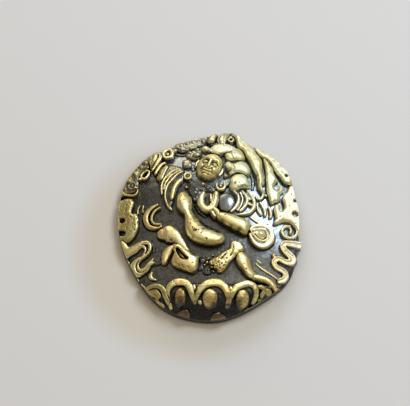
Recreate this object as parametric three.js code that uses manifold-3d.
// A small cast brass amulet: a domed plate with a dancing guardian in a ring of flames on a lotus.
// Millimetres. It lies on its back: +Z out of the front, +Y towards the head, +X to the viewer's right.
import * as THREE from "three";
import { mergeVertices } from "three/addons/utils/BufferGeometryUtils.js";
import Module from "manifold-3d";

// Overall size. The plan below is drawn at 38 by 42 mm and stretched to these.
const WIDTH = 38;
const LENGTH = 42;
const DRAWN_WIDTH = 38;
const DRAWN_LENGTH = 42;

// Domed plate
const RIM_HEIGHT = 1.2;
const DOME_RISE = 3.6;
const DOME_POWER = 2.5;
const WALL = 1.4;
const REST_BAND = 2.3;
const PLATE_SEGMENTS = 66;

// Heights of the relief above what carries it
const FLAME_RISE = 1.1;
const TENDRIL_RISE = 0.9;
const RIBBON_RISE = 1.1;
const FOLD_RISE = 1.2;
const LIMB_RISE = 2.2;
const BELLY_RISE = 3.4;
const HEAD_RISE = 3.0;
const FEATURE_RISE = 0.45;
const HAND_RISE = 2.0;
const JEWEL_RISE = 1.2;
const LOCK_RISE = 1.8;
const KNOT_RISE = 1.8;
const BOOT_RISE = 1.9;
const FLAP_RISE = 1.5;
const DISC_RISE = 0.85;
const FINE_FOLD_RISE = 0.95;
const LOTUS_RISE = 2.4;
const PETAL_RISE = 0.7;
const SEED_RISE = 0.8;

// Loop on the back
const LOOP_WIRE = 1.1;
const LOOP_SPAN = 5;
const LOOP_DROP = 1.9;
const LOOP_PLACE = 7;

// Air between two pieces that touch
const CLEARANCE = 0.3;

// Half sizes of the head and of the holes burnt through the flames; the head's skin falls away from
// just under its top by a share of its rise
const HEAD_HALF = [2.35, 3.2];
const HEAD_TOP = 0.95;
const HEAD_FALL = 0.8;
const BIG_HOLE = [0.75, 0.8];
const SMALL_HOLE = [0.4, 0.35];

const wasm = await Module();
wasm.setup();

// Plan coordinates from the drawing to the real size
const across = (x) => (x * WIDTH) / DRAWN_WIDTH;
const along = (y) => (y * LENGTH) / DRAWN_LENGTH;
const placed = ([x, y]) => new THREE.Vector3(across(x), along(y), 0);

// Outline of the plate, clockwise from the flame tip at the top
const OUTLINE = [
  [3.8, 21.0], [5.8, 20.4], [7.1, 19.1], [9.0, 17.8], [12.1, 16.3], [15.0, 13.5], [16.8, 10.9],
  [17.8, 7.0], [18.5, 3.0], [18.4, -3.0], [17.6, -8.5], [15.6, -12.6], [11.0, -16.2],
  [6.0, -19.2], [1.5, -20.9], [-4.0, -20.4], [-9.0, -18.1], [-13.0, -14.4], [-16.5, -8.5],
  [-18.6, -2.6], [-18.9, 4.0], [-17.3, 10.2], [-13.1, 15.7], [-8.5, 18.1], [-4.0, 19.3], [0.5, 20.4],
];
const OUTLINE_SAMPLES = 176;
const rim = new THREE.CatmullRomCurve3(OUTLINE.map(placed), true)
  .getPoints(OUTLINE_SAMPLES)
  .slice(1)
  .map((p) => ({ angle: Math.atan2(p.y, p.x), reach: Math.hypot(p.x, p.y) }))
  .sort((a, b) => a.angle - b.angle);

// Distance from the centre to the rim in one direction
function rimReach(angle) {
  let after = rim.findIndex((p) => p.angle > angle);
  if (after < 0) after = 0;
  const b = rim[after];
  const a = rim[(after + rim.length - 1) % rim.length];
  const turn = 2 * Math.PI;
  const span = (b.angle - a.angle + turn) % turn;
  const part = ((angle - a.angle + turn) % turn) / span;
  return a.reach + (b.reach - a.reach) * part;
}

// Height of the dome: shared by the plate and by everything that lies on it
const domeHeight = (part) => RIM_HEIGHT + DOME_RISE * (1 - Math.min(1, part) ** DOME_POWER);
const domeTop = (x, y) => domeHeight(Math.hypot(x, y) / rimReach(Math.atan2(y, x)));

// Lotus base: a bolster from a straight top line down to the rim
const LOTUS_TOP_LINE = -13.2;
const LOTUS_HALF_WIDTH = 13.4;
const LOTUS_END_DROP = 0.55;
const LOTUS_PROFILE = [
  [0, 0.15], [0.04, 0.62], [0.14, 0.95], [0.37, 1], [0.62, 0.85], [0.83, 0.48], [1, 0.12],
];
const between = (list, at) => {
  const past = list.findIndex(([t]) => t >= at);
  const i = past < 0 ? list.length - 1 : Math.max(1, past);
  const [[t0, v0], [t1, v1]] = [list[i - 1], list[i]];
  return v0 + ((v1 - v0) * (at - t0)) / (t1 - t0);
};
const lowerRim = rim
  .filter((p) => p.angle < 0)
  .map((p) => [p.reach * Math.cos(p.angle), p.reach * Math.sin(p.angle)]);
const lotusEdge = (x) => between(lowerRim, x);
function lotusTop(x, y) {
  const top = along(LOTUS_TOP_LINE);
  const part = THREE.MathUtils.clamp((top - y) / Math.max(0.5, top - lotusEdge(x)), 0, 1);
  const taper = 1 - LOTUS_END_DROP * Math.min(1, Math.abs(x) / across(LOTUS_HALF_WIDTH)) ** 2;
  return domeTop(x, y) + CLEARANCE + LOTUS_RISE * taper * between(LOTUS_PROFILE, part);
}

// Closed surface from rings of equal point counts; open ends are capped on their middle
function skin(rings, closed = false) {
  const sides = rings[0].length;
  const points = rings.flat();
  const faces = [];
  const last = closed ? rings.length : rings.length - 1;
  for (let i = 0; i < last; i++) {
    const next = (i + 1) % rings.length;
    for (let j = 0; j < sides; j++) {
      const k = (j + 1) % sides;
      const [a, b, c, d] = [i * sides + j, i * sides + k, next * sides + k, next * sides + j];
      faces.push(a, b, c, a, c, d);
    }
  }
  if (!closed) {
    for (const [ring, flip] of [[0, true], [rings.length - 1, false]]) {
      const middle = new THREE.Vector3();
      rings[ring].forEach((p) => middle.addScaledVector(p, 1 / sides));
      const hub = points.push(middle) - 1;
      for (let j = 0; j < sides; j++) {
        const [a, b] = [ring * sides + j, ring * sides + ((j + 1) % sides)];
        faces.push(hub, ...(flip ? [b, a] : [a, b]));
      }
    }
  }
  return facingOut(points, faces);
}

// Geometry whose faces point outwards, whichever way its rings ran
function facingOut(points, faces) {
  let volume = 0;
  for (let i = 0; i < faces.length; i += 3) {
    const [a, b, c] = [points[faces[i]], points[faces[i + 1]], points[faces[i + 2]]];
    volume += a.dot(new THREE.Vector3().crossVectors(b, c));
  }
  if (volume < 0) faces.reverse();
  return new THREE.BufferGeometry()
    .setAttribute("position", new THREE.Float32BufferAttribute(points.flatMap((p) => p.toArray()), 3))
    .setIndex(faces);
}

// Cross-sections of a ridge: sideways place from -1 to 1, and height from 0 to 1
const SLENDER = { floor: [-1, 1], crown: [[1, 0.45], [0.55, 0.92], [-0.55, 0.92], [-1, 0.45]] };
const BROAD = {
  floor: [-1, -0.35, 0.35, 1],
  crown: [[1, 0.35], [0.8, 0.72], [0.3, 0.98], [-0.3, 0.98], [-0.8, 0.72], [-1, 0.35]],
};
const BROAD_FROM = 1.4;
const END_REACH = 0.3;
const END_WIDTH = 0.55;
const END_HEIGHT = 0.7;

// Value of a list at a place from 0 to 1 along it
function valueAlong(list, part) {
  const at = part * (list.length - 1);
  const i = Math.min(list.length - 2, Math.floor(at));
  return list[i] + (list[i + 1] - list[i]) * (at - i);
}

// Rounded ridge along plan points [x, y, width], standing on a ground height
function ridge(points, rise, { ground = domeTop, rises = [1, 1], closed = false, perSpan = 2 } = {}) {
  return (grow) => {
    const route = new THREE.CatmullRomCurve3(points.map(placed), closed, "centripetal");
    const widths = points.map((p) => p[2]);
    if (closed) widths.push(widths[0]);
    const section = Math.max(...widths) > BROAD_FROM ? BROAD : SLENDER;
    const steps = (widths.length - 1) * perSpan;
    const ring = (at, part, scale, lift, shift) => {
      const ahead = route.getTangent(part);
      const centre = at.clone().addScaledVector(ahead, shift);
      const half = (valueAlong(widths, part) * scale) / 2 + grow;
      const height = rise * valueAlong(rises, part) * lift + grow;
      const spot = (side, h) => {
        const x = centre.x - ahead.y * half * side;
        const y = centre.y + ahead.x * half * side;
        return new THREE.Vector3(x, y, ground(x, y) + CLEARANCE + h);
      };
      return [
        ...section.floor.map((side) => spot(side, -2 * grow)),
        ...section.crown.map(([side, h]) => spot(side, h * height)),
      ];
    };
    const rings = [];
    for (let i = 0; i < steps + (closed ? 0 : 1); i++) {
      const part = i / steps;
      const at = route.getPoint(part);
      const reach = valueAlong(widths, part) * END_REACH + grow;
      if (!closed && i === 0) rings.push(ring(at, part, END_WIDTH, END_HEIGHT, -reach));
      rings.push(ring(at, part, 1, 1, 0));
      if (!closed && i === steps) rings.push(ring(at, part, END_WIDTH, END_HEIGHT, reach));
    }
    return skin(rings, closed);
  };
}

// Oval dome at a plan point, with its own half-length, half-width and turn
const DOME_RINGS = [[1, 0.3], [0.93, 0.55], [0.75, 0.8], [0.45, 0.95]];
function boss([x, y], half, rise, { ground = domeTop, turn = 0, segments = 12, up = 0 } = {}) {
  return (grow) => {
    const [cx, cy] = [across(x), along(y)];
    const ring = (scale, height) => {
      const spots = [];
      for (let i = 0; i < segments; i++) {
        const a = (2 * Math.PI * i) / segments;
        const [px, py] = [(half[0] + grow) * scale * Math.cos(a), (half[1] + grow) * scale * Math.sin(a)];
        const sx = cx + px * Math.cos(turn) - py * Math.sin(turn);
        const sy = cy + px * Math.sin(turn) + py * Math.cos(turn);
        spots.push(new THREE.Vector3(sx, sy, ground(sx, sy) + CLEARANCE + up + height));
      }
      return spots;
    };
    const floor = [ring(0.5, -2 * grow), ring(1, -2 * grow)];
    return skin([...floor, ...DOME_RINGS.map(([scale, h]) => ring(scale, h * rise + grow))]);
  };
}

// Round ring with a hole, as an earring
function hoop([x, y], radius, width, rise) {
  const points = [];
  for (let i = 0; i < 8; i++) {
    const a = (Math.PI * i) / 4;
    points.push([x + radius * Math.cos(a), y + radius * Math.sin(a), width]);
  }
  return ridge(points, rise, { closed: true });
}

// Oval hole straight down through a plate of flame
function piercing([x, y], half) {
  const hole = new THREE.CylinderGeometry(1, 1, LENGTH, 14).rotateX(Math.PI / 2);
  return hole.scale(half[0], half[1], 1).translate(across(x), along(y), 0);
}

// Solids for joining and cutting
function solid(geometry) {
  const bare = geometry.index ? geometry.toNonIndexed() : geometry.clone();
  bare.deleteAttribute("normal");
  bare.deleteAttribute("uv");
  const merged = mergeVertices(bare, 1e-4);
  return new wasm.Manifold(new wasm.Mesh({
    numProp: 3,
    vertProperties: merged.attributes.position.array,
    triVerts: new Uint32Array(merged.index.array),
  }));
}
function geometryOf(shape) {
  const mesh = shape.getMesh();
  return new THREE.BufferGeometry()
    .setAttribute("position", new THREE.BufferAttribute(new Float32Array(mesh.vertProperties), 3))
    .setIndex(new THREE.BufferAttribute(new Uint32Array(mesh.triVerts), 1));
}

// Brass: rubbed bright where it stands up, grey-black in the hollows
const rubbed = new THREE.MeshStandardMaterial({ color: 0xb9a25c, metalness: 1, roughness: 0.35 });
const toned = new THREE.MeshStandardMaterial({ color: 0x4a463c, metalness: 1, roughness: 0.5 });

const amulet = new THREE.Group();
const laid = [];

function addMesh(name, shape, material) {
  const mesh = new THREE.Mesh(geometryOf(shape), material);
  mesh.name = name;
  amulet.add(mesh);
}

// Lays one piece of relief, cut back with clearance where it meets the ones laid before it
function lay(name, shapes, { holes = [], material = rubbed } = {}) {
  const whole = (grow) => shapes.map((make) => solid(make(grow))).reduce((a, b) => a.add(b));
  let shape = whole(0);
  const box = shape.boundingBox();
  for (const other of laid) {
    const apart = [0, 1].some((i) =>
      other.box.min[i] - CLEARANCE > box.max[i] || box.min[i] - CLEARANCE > other.box.max[i]);
    if (!apart) shape = shape.subtract(other.spaced);
  }
  for (const hole of holes) shape = shape.subtract(solid(hole));
  laid.push({ box, spaced: whole(CLEARANCE) });
  addMesh(name, shape, material);
}

// Domed plate, hollow behind, standing on a flat band round its back: rings as shares of the way out
const LEAST_HOLLOW = 0.2;
const RIM_ROUND = 0.2;
const HOLLOW_RINGS = [0.12, 0.4, 0.65];
const FACE_RINGS = [0.985, 0.93, 0.85, 0.75, 0.64, 0.52, 0.38, 0.22, 0.08];
function plateRings() {
  const edge = (part, z) => {
    const ring = [];
    for (let i = 0; i < PLATE_SEGMENTS; i++) {
      const a = (2 * Math.PI * i) / PLATE_SEGMENTS;
      const reach = rimReach(a > Math.PI ? a - 2 * Math.PI : a) * part;
      ring.push(new THREE.Vector3(reach * Math.cos(a), reach * Math.sin(a), z));
    }
    return ring;
  };
  const band = 1 - REST_BAND / (WIDTH / 2);
  const under = (part) => edge(part, Math.max(LEAST_HOLLOW, domeHeight(part) - WALL));
  return [
    ...[...HOLLOW_RINGS, band - 0.02].map(under),
    edge(band, 0),
    edge(0.99, 0),
    edge(1, RIM_ROUND),
    edge(1, RIM_HEIGHT - RIM_ROUND),
    ...FACE_RINGS.map((part) => edge(part, domeHeight(part))),
  ];
}
addMesh("field_plate", solid(skin(plateRings())), toned);

// Cord loop, a bent wire inside the hollow back
function loopWire() {
  const top = domeHeight(LOOP_PLACE / rimReach(Math.PI / 2)) - WALL - CLEARANCE;
  const bow = new THREE.CatmullRomCurve3([[-0.5, 0], [-0.42, 0.6], [0, 1], [0.42, 0.6], [0.5, 0]].map(
    ([side, down]) => new THREE.Vector3(LOOP_SPAN * side, LOOP_PLACE, top - LOOP_DROP * down),
  ));
  const wire = new THREE.Shape();
  wire.absarc(0, 0, LOOP_WIRE / 2, 0, 2 * Math.PI);
  return new THREE.ExtrudeGeometry(wire, { steps: 14, curveSegments: 8, extrudePath: bow });
}
addMesh("rear_loop", solid(loopWire()), toned);

// Lotus base: sections across the bolster, from end to end
const LOTUS_STATIONS = 18;
function lotusBody(grow) {
  const rings = [];
  for (let i = 0; i <= LOTUS_STATIONS; i++) {
    const x = across(LOTUS_HALF_WIDTH) * ((2 * i) / LOTUS_STATIONS - 1);
    const top = along(LOTUS_TOP_LINE);
    const depth = top - lotusEdge(x) - CLEARANCE;
    const spot = (part, z) => new THREE.Vector3(x, top - depth * part, z);
    rings.push([
      ...[0, 0.35, 0.7, 1].map((t) => spot(t, domeTop(x, top - depth * t) + CLEARANCE - 2 * grow)),
      ...LOTUS_PROFILE.map(([t]) => spot(t, lotusTop(x, top - depth * t) + grow)).reverse(),
    ]);
  }
  return skin(rings);
}

// Petals, their seed bosses and the worn lower row
const onLotus = { ground: lotusTop };
const PETALS = {
  lotus_petal_centre: [
    [-3.0, -17.3, 0.8], [-2.4, -15.8, 1], [-1.4, -14.7, 1], [0.1, -13.9, 1],
    [1.5, -13.9, 1], [2.9, -14.7, 1], [3.6, -15.8, 1], [3.7, -17.2, 0.8],
  ],
  lotus_petal_left: [
    [-8.9, -17.0, 0.7], [-8.9, -15.6, 0.9], [-8.3, -14.4, 1], [-7.0, -13.8, 1],
    [-5.7, -13.8, 1], [-4.4, -14.5, 1], [-3.9, -15.9, 1], [-3.9, -17.6, 0.8],
  ],
  lotus_petal_right: [
    [4.6, -17.7, 0.8], [4.7, -16.3, 1], [5.3, -15.0, 1], [6.5, -14.1, 1],
    [7.9, -13.9, 1], [9.1, -14.5, 1], [9.4, -15.6, 1], [8.9, -16.9, 0.8],
  ],
  lotus_petal_far_left: [
    [-12.3, -14.9, 0.5], [-12.0, -14.3, 0.7], [-11.2, -14.0, 0.8], [-10.3, -14.6, 0.8], [-9.9, -16.4, 0.6],
  ],
  lotus_petal_far_right: [[10.4, -14.3, 1.0], [11.5, -14.6, 1.5], [12.4, -14.3, 0.8]],
};
const SEEDS = {
  lotus_seed_left: [[-6.4, -16.6], [1.2, 1.5]],
  lotus_seed_centre: [[0.4, -16.9], [1.5, 1.7]],
  lotus_seed_right: [[7.0, -16.6], [1.3, 1.6]],
};
const UNDER_PETALS = [[[-5.3, -19.0], [1.2, 0.5]], [[1.7, -19.6], [1.5, 0.5]]];
const underPetal = ([at, half]) => boss(at, half, 1, { ...onLotus, up: -2 * CLEARANCE });
lay("lotus_base", [lotusBody, ...UNDER_PETALS.map(underPetal)], { material: toned });
for (const [name, points] of Object.entries(PETALS)) lay(name, [ridge(points, PETAL_RISE, onLotus)]);
for (const [name, [at, half]] of Object.entries(SEEDS)) lay(name, [boss(at, half, SEED_RISE, onLotus)]);

// Head with brows, nose, cheeks and wide mouth
const HEAD = [-0.2, 11.8];
const HEAD_TURN = -0.3;
const onHead = (x, y) => {
  const [dx, dy] = [x - across(HEAD[0]), y - along(HEAD[1])];
  const [s, c] = [Math.sin(-HEAD_TURN), Math.cos(-HEAD_TURN)];
  const away = Math.hypot((dx * c - dy * s) / HEAD_HALF[0], (dx * s + dy * c) / HEAD_HALF[1]);
  const share = HEAD_TOP * (1 - HEAD_FALL * Math.min(1, away) ** 3);
  return domeTop(x, y) + HEAD_RISE * share - CLEARANCE;
};
const FACE = [
  [[-1.7, 12.7, 0.5], [-0.9, 13.0, 0.6], [0.1, 12.9, 0.5], [1.0, 12.9, 0.6], [1.8, 12.3, 0.5]],
  [[0.1, 12.9, 0.5], [-0.1, 12.0, 0.6], [-0.3, 11.4, 0.9]],
  [[-2.2, 10.5, 0.4], [-1.4, 9.9, 0.5], [-0.4, 9.6, 0.5], [0.6, 9.9, 0.5], [1.2, 10.8, 0.4]],
  [[-1.8, 9.2, 0.5], [-0.8, 8.8, 0.6], [0.4, 8.9, 0.6], [1.4, 9.6, 0.5]],
];
lay("head", [
  boss(HEAD, HEAD_HALF, HEAD_RISE, { turn: HEAD_TURN, segments: 18 }),
  ...FACE.map((points) => ridge(points, FEATURE_RISE, { ground: onHead })),
]);

// Torso: shoulder, waist and belly in one sweep
lay("torso", [ridge([
  [-5.9, 4.9, 2.4], [-5.1, 3.3, 3.1], [-4.7, 1.5, 2.5], [-4.2, -0.1, 2.3], [-3.5, -2.1, 3.3],
  [-2.0, -3.6, 4.1], [-0.3, -4.3, 4.2], [1.5, -4.3, 3.5], [2.4, -4.1, 2.6],
], BELLY_RISE, { rises: [0.55, 0.65, 0.65, 0.7, 0.85, 0.97, 1, 0.95, 0.75] })]);

// Hand at the chest: thumb and fingers in a hook, then bracelet and forearm
lay("open_hand", [ridge([
  [-1.0, 5.5, 0.8], [-1.6, 4.3, 1.0], [-1.5, 2.9, 1.1], [-0.6, 2.0, 1.2],
  [0.5, 2.5, 1.2], [1.0, 4.1, 1.2], [1.1, 5.5, 1.0],
], HAND_RISE)]);
lay("bracelet", [ridge([[0.9, 1.5, 0.7], [1.5, 1.0, 0.8], [1.1, 0.3, 0.7]], HAND_RISE)]);
lay("forearm", [ridge([
  [2.2, 0.4, 1.7], [3.2, -0.1, 1.9], [4.8, -0.8, 2.1], [6.5, -1.5, 2.3], [7.4, -1.9, 2.2],
], LIMB_RISE, { rises: [0.95, 1, 1.05, 1.1, 1.05] })]);

// Legs: bent knee and boot on the left, hem, calf and pointed foot on the right
lay("left_thigh", [ridge([
  [-9.9, -3.4, 1.9], [-9.0, -3.1, 2.6], [-7.8, -3.4, 2.5], [-6.6, -4.6, 1.7], [-5.3, -6.2, 1.1],
  [-4.6, -7.4, 0.8],
], LIMB_RISE, { rises: [0.8, 1, 1, 0.9, 0.7, 0.5] })]);
lay("left_boot", [ridge([
  [-7.1, -6.2, 1.2], [-6.8, -7.6, 2.1], [-5.8, -9.0, 2.7], [-4.5, -9.9, 2.5], [-3.4, -10.5, 1.6],
], BOOT_RISE)]);
lay("boot_flap", [ridge([
  [-7.8, -6.1, 0.6], [-8.8, -6.7, 1.0], [-9.3, -7.7, 1.2], [-9.3, -8.9, 0.8],
], FLAP_RISE)]);
lay("right_thigh", [ridge([
  [5.6, -6.1, 1.8], [4.5, -7.3, 1.9], [3.2, -8.5, 2.1], [1.9, -9.6, 2.5], [1.3, -10.6, 1.7],
], LIMB_RISE)]);
lay("right_calf", [ridge([
  [6.3, -8.3, 1.7], [6.8, -9.3, 2.3], [7.4, -10.3, 2.2], [7.9, -11.1, 1.6],
], LIMB_RISE)]);
lay("right_foot", [ridge([
  [9.0, -11.6, 1.0], [10.2, -11.9, 1.1], [11.5, -12.1, 1.1], [12.7, -12.4, 0.9],
], FOLD_RISE)]);

// Crown, hair, topknot and ear ornaments
lay("crown_jewel_centre", [boss([-1.0, 16.6], [0.85, 0.85], JEWEL_RISE)]);
lay("crown_jewel_left", [boss([-3.2, 15.3], [1.2, 0.75], JEWEL_RISE, { turn: 0.2 })]);
lay("crown_jewel_right", [boss([1.9, 16.2], [0.75, 0.6], JEWEL_RISE)]);
lay("topknot", [
  ridge([[2.9, 18.1, 2.1], [2.8, 19.1, 2.4], [3.0, 19.8, 1.7]], FOLD_RISE),
  boss([4.3, 19.0], [0.6, 0.9], FOLD_RISE),
]);
lay("crown_band", [ridge([
  [0.6, 17.4, 0.7], [1.9, 17.3, 0.8], [3.4, 17.0, 0.8], [4.7, 17.1, 0.8], [6.2, 16.4, 0.6],
], JEWEL_RISE)]);
lay("hair_lock_upper", [ridge([
  [3.8, 14.6, 1.1], [4.8, 15.0, 1.7], [6.1, 14.9, 1.7], [7.0, 14.5, 1.0],
], LOCK_RISE)]);
lay("hair_lock_middle", [ridge([
  [3.5, 12.4, 1.0], [4.6, 12.1, 1.2], [5.8, 12.0, 1.8], [6.9, 11.8, 1.9], [7.7, 11.3, 1.2],
], LOCK_RISE)]);
lay("hair_lock_lower", [ridge([
  [4.6, 8.4, 1.9], [5.8, 8.6, 2.4], [7.0, 8.5, 2.1], [7.7, 8.1, 1.2],
], LOCK_RISE)]);
lay("earring_left", [hoop([-4.6, 10.3], 0.75, 0.5, TENDRIL_RISE)]);
lay("earring_right", [hoop([2.2, 7.8], 0.8, 0.5, TENDRIL_RISE)]);

// Raised arm with its hand, wrist bands and falling sleeve folds
lay("wrist_band_upper", [ridge([
  [-10.3, 15.2, 0.5], [-11.0, 14.3, 0.55], [-11.5, 13.3, 0.55], [-11.9, 12.2, 0.5],
], FOLD_RISE)]);
lay("wrist_band_lower", [ridge([
  [-9.5, 13.7, 0.5], [-10.2, 12.9, 0.55], [-10.7, 12.0, 0.55], [-11.1, 11.0, 0.5],
], FOLD_RISE)]);
lay("raised_hand", [ridge([[-11.1, 15.8, 1.4], [-12.0, 15.0, 1.6], [-12.8, 13.7, 1.2]], FOLD_RISE)]);
lay("sleeve_fold_outer", [ridge([
  [-6.9, 12.2, 0.5], [-8.0, 11.5, 0.6], [-9.0, 10.4, 0.6], [-9.6, 9.0, 0.6], [-9.9, 7.3, 0.6],
  [-9.8, 5.7, 0.5],
], FOLD_RISE)]);
lay("raised_arm", [ridge([[-8.7, 12.3, 0.9], [-9.6, 11.8, 1.2], [-10.3, 10.4, 1.1]], FOLD_RISE)]);
lay("sleeve_fold_middle", [ridge([
  [-5.9, 11.2, 0.5], [-6.9, 10.4, 0.6], [-7.9, 9.2, 0.6], [-8.6, 7.7, 0.6], [-8.9, 6.1, 0.6],
  [-8.9, 4.5, 0.6], [-8.5, 3.1, 0.5],
], FOLD_RISE)]);
lay("sleeve_fold_inner", [ridge([
  [-6.1, 8.9, 0.7], [-6.8, 8.0, 0.75], [-7.4, 6.9, 0.75], [-7.7, 5.7, 0.75], [-7.8, 4.9, 0.6],
], FOLD_RISE)]);

// Shawl over the far shoulder, and its knot
lay("breast_disc", [boss([3.4, 4.2], [1.6, 1.9], DISC_RISE)]);
lay("shawl_fold_inner", [ridge([
  [5.5, 6.3, 0.6], [6.0, 4.7, 0.7], [5.8, 3.3, 0.7], [4.9, 2.0, 0.6],
], FOLD_RISE)]);
lay("shawl_fold_middle", [ridge([
  [6.8, 6.2, 0.6], [7.5, 4.8, 0.7], [7.3, 3.4, 0.7], [6.6, 2.2, 0.6],
], FOLD_RISE)]);
lay("shawl_fold_outer", [ridge([
  [8.2, 6.0, 0.6], [8.9, 4.6, 0.7], [9.1, 3.3, 0.7], [8.5, 2.0, 0.7], [7.3, 1.3, 0.6], [6.2, 1.1, 0.5],
], FOLD_RISE)]);
lay("scarf_knot_boss", [ridge([[9.7, -2.8, 0.9], [10.6, -3.1, 1.1], [11.4, -3.5, 0.8]], KNOT_RISE)]);
lay("scarf_knot", [ridge([
  [9.0, -1.3, 0.9], [10.2, -1.1, 1.0], [11.8, -1.6, 1.1], [12.9, -2.8, 1.2], [12.8, -4.2, 1.2],
  [11.8, -5.5, 1.1], [10.3, -5.9, 1.0], [9.0, -5.1, 0.9], [8.3, -3.9, 0.7],
], KNOT_RISE)]);

// Crescent of scarf behind the waist, and the flying ends on both sides
lay("scarf_crescent", [
  ridge([
    [-11.0, 3.7, 0.4], [-12.1, 3.1, 0.7], [-12.9, 1.9, 0.9], [-13.1, 0.6, 0.9],
    [-12.5, -0.8, 0.8], [-11.4, -1.5, 0.7], [-10.3, -1.3, 0.5],
  ], FOLD_RISE),
  ridge([
    [-10.3, 2.9, 0.4], [-11.4, 2.5, 0.5], [-12.0, 1.6, 0.5], [-12.1, 0.5, 0.5], [-11.6, -0.5, 0.6],
    [-11.2, -1.2, 0.6],
  ], FINE_FOLD_RISE),
]);
lay("scarf_end_left", [ridge([
  [-17.4, -4.6, 0.9], [-17.0, -5.6, 1.3], [-15.8, -5.4, 1.3], [-14.6, -4.7, 1.2], [-13.3, -4.5, 0.9],
  [-12.7, -5.5, 0.7], [-13.4, -6.6, 0.8], [-14.6, -7.4, 0.9], [-15.3, -8.6, 1.0], [-15.0, -9.8, 1.0],
  [-14.0, -10.0, 0.9], [-13.0, -9.1, 0.7], [-12.2, -8.4, 0.6], [-11.5, -8.2, 0.5],
], RIBBON_RISE)]);
lay("scarf_end_right", [ridge([
  [18.7, -3.8, 1.1], [17.5, -3.8, 1.0], [16.0, -3.7, 0.9], [14.9, -4.3, 0.9], [15.3, -5.3, 1.0],
  [16.5, -6.1, 1.0], [17.2, -7.1, 1.0], [17.0, -8.2, 1.0], [15.8, -8.5, 1.0], [14.6, -7.9, 1.0],
  [13.5, -7.4, 0.9], [12.7, -8.1, 0.8], [13.0, -9.2, 0.9], [14.2, -9.9, 1.0], [15.2, -10.2, 1.0],
  [15.6, -11.0, 1.0], [15.1, -11.8, 0.9], [14.1, -11.6, 0.7],
], RIBBON_RISE)]);

// Flames on the left: a pierced cloud of flame, curls and rings up the edge
const FLAME_LEFT_HOLES = [piercing([-18.0, 1.2], BIG_HOLE), piercing([-18.0, -1.8], BIG_HOLE)];
lay("flame_left", [ridge([
  [-17.0, 5.6, 1.7], [-17.0, 3.8, 2.3], [-16.8, 2.2, 3.1], [-16.7, 0.6, 3.5], [-16.7, -0.9, 3.3],
  [-16.9, -2.2, 2.4], [-17.2, -3.1, 1.4],
], FLAME_RISE)], { holes: FLAME_LEFT_HOLES });
lay("flame_curl_left", [ridge([
  [-15.0, 8.0, 0.5], [-15.3, 7.1, 0.6], [-16.4, 6.9, 0.6], [-17.3, 7.5, 0.6], [-17.1, 8.7, 0.6],
  [-16.4, 9.5, 0.6], [-15.5, 9.2, 0.5],
], TENDRIL_RISE)]);
lay("flame_ring_left", [ridge([
  [-12.7, 11.8, 0.5], [-13.1, 10.8, 0.6], [-14.0, 10.2, 0.6], [-14.7, 10.8, 0.6], [-14.1, 11.9, 0.6],
  [-13.4, 12.4, 0.5],
], TENDRIL_RISE)]);
lay("flame_ring_top", [ridge([
  [-9.6, 15.7, 0.5], [-9.3, 16.5, 0.6], [-8.5, 16.9, 0.6], [-7.8, 16.3, 0.6], [-8.2, 15.4, 0.6],
  [-9.0, 15.1, 0.5],
], TENDRIL_RISE, { closed: true })]);
lay("flame_tip_left", [ridge([[-4.3, 18.2, 1.4], [-4.6, 17.4, 1.3], [-5.3, 16.6, 0.8]], FLAME_RISE)]);
lay("flame_tip_right", [ridge([[-2.2, 18.4, 1.3], [-0.7, 18.7, 1.4], [0.7, 19.0, 1.2]], FLAME_RISE)]);

// Flames on the right: three licking bands, a pierced lower flame, a tongue and a scroll
lay("flame_band_inner", [ridge([
  [5.8, 18.8, 1.2], [6.9, 17.9, 1.8], [8.0, 16.6, 2.2], [9.0, 15.1, 2.2], [9.7, 13.2, 2.0],
  [10.1, 11.4, 1.5], [10.4, 9.9, 1.2], [10.3, 8.4, 1.0], [10.6, 7.2, 0.7], [10.5, 6.1, 0.6],
  [9.8, 5.3, 0.5],
], FLAME_RISE)]);
lay("flame_band_middle", [
  ridge([
    [11.8, 14.2, 0.6], [12.2, 12.9, 1.1], [12.6, 11.2, 1.6], [12.8, 9.5, 1.8], [12.8, 7.9, 1.8],
    [12.9, 6.2, 1.7], [12.8, 4.9, 1.4], [12.6, 4.1, 0.8],
  ], FLAME_RISE),
  ridge([[13.0, 6.9, 1.2], [14.0, 6.9, 0.9], [14.5, 7.9, 0.6]], FLAME_RISE),
]);
lay("flame_band_outer", [ridge([
  [10.4, 15.8, 0.8], [11.5, 15.3, 1.1], [12.7, 14.4, 1.3], [13.9, 13.2, 1.7], [14.7, 11.9, 1.7],
  [15.5, 10.7, 1.5], [16.1, 9.8, 1.1],
], FLAME_RISE)]);
const FLAME_RIGHT_HOLES = [piercing([17.6, 5.2], SMALL_HOLE), piercing([17.6, 2.5], BIG_HOLE)];
lay("flame_lower_right", [
  ridge([
    [16.7, 8.4, 0.9], [16.4, 7.0, 1.9], [16.3, 5.5, 2.6], [16.5, 4.0, 2.8], [16.5, 2.4, 2.9],
    [16.8, 1.2, 2.2], [17.2, 0.4, 1.0],
  ], FLAME_RISE),
  ridge([
    [16.0, 2.1, 1.5], [14.7, 1.5, 1.6], [13.9, 2.3, 1.2], [13.8, 3.5, 0.9], [14.4, 4.1, 0.6],
  ], FLAME_RISE),
], { holes: FLAME_RIGHT_HOLES });
lay("flame_tongue", [ridge([
  [10.2, 4.0, 0.5], [10.9, 3.5, 0.7], [11.5, 2.5, 0.7], [12.0, 1.3, 0.6],
], TENDRIL_RISE)]);
lay("flame_scroll", [ridge([
  [16.3, -0.5, 0.5], [15.4, -0.7, 0.6], [14.9, -1.6, 0.6], [15.4, -2.4, 0.6], [16.5, -2.6, 0.6],
  [17.2, -1.9, 0.5],
  [17.1, -1.2, 0.5], [16.5, -1.4, 0.5],
], TENDRIL_RISE)]);

export default amulet;
